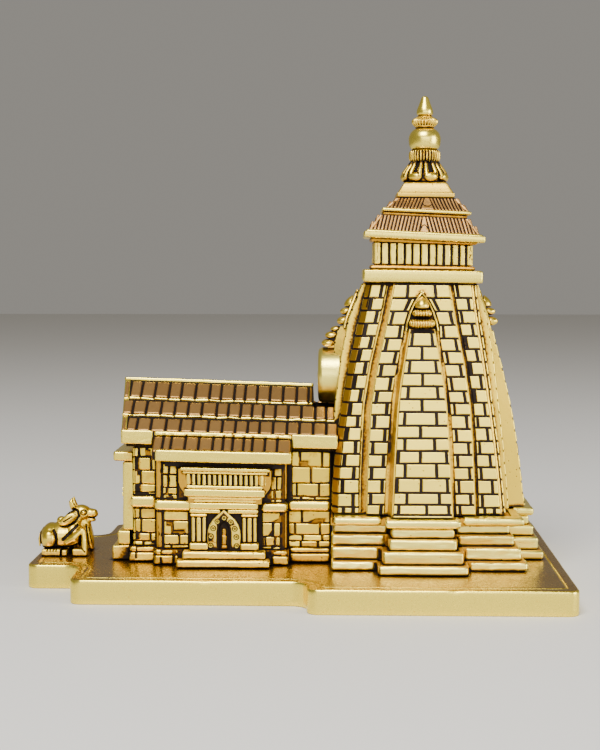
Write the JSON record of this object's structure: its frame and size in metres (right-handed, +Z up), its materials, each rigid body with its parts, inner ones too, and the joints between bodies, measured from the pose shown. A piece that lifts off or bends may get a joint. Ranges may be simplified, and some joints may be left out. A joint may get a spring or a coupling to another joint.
{
  "type": "temple model",
  "caption": "Cast brass table model of a hill temple: a gabled tiled hall against a tall curved brick tower with a finial, and a resting bull, on a stepped plate.",
  "frame": {"origin": "centre of the base plate's underside", "axes": "+X from the hall and the bull towards the tower, -Y the side that the picture shows, +Z up"},
  "size_m": [0.203, 0.1406, 0.1876],
  "materials": {
    "polished_brass": "polished",
    "masonry_brass": "antiqued, polished on the raised faces",
    "roof_brass": "satin, darkened",
    "figure_brass": "polished with dark patina in the recesses"
  },
  "bodies": {
    "root": {"base_plate": "polished_brass", "cap_slab": "polished_brass", "roof_cap": "polished_brass", "finial_ball": "polished_brass", "finial_tip": "polished_brass", "medallion": "polished_brass", "hall_footing": "masonry_brass", "hall_wall_lower": "masonry_brass", "hall_wall_upper": "masonry_brass", "hall_string_course": "masonry_brass", "niche_frame_front": "masonry_brass", "niche_frame_back": "masonry_brass", "front_frame": "masonry_brass", "front_step": "masonry_brass", "front_bar": "masonry_brass", "niche_steps_front": "masonry_brass", "niche_steps_back": "masonry_brass", "lintel_front": "masonry_brass", "lintel_back": "masonry_brass", "baluster_row_front": "masonry_brass", "baluster_row_back": "masonry_brass", "cornice_front": "masonry_brass", "cornice_back": "masonry_brass", "plinth_foot": "masonry_brass", "plinth_step": "masonry_brass", "plinth_neck": "masonry_brass", "plinth_top": "masonry_brass", "tower_sill": "masonry_brass", "tower_body": "masonry_brass", "tower_rib_front": "masonry_brass", "tower_rib_back": "masonry_brass", "tower_rib_end": "masonry_brass", "tower_rib_hall": "masonry_brass", "neck_mould": "masonry_brass", "loggia": "masonry_brass", "hall_roof": "roof_brass", "porch_roof_front": "roof_brass", "porch_roof_back": "roof_brass", "lower_roof": "roof_brass", "upper_roof": "roof_brass", "bull": "figure_brass", "rib_crown_front": "figure_brass", "rib_crown_back": "figure_brass", "rib_crown_end": "figure_brass", "rib_crown_hall": "figure_brass", "hall_crown": "figure_brass", "lotus_collar": "figure_brass", "finial_ring_low": "figure_brass", "finial_ring_high": "figure_brass"}
  },
  "joints": []
}
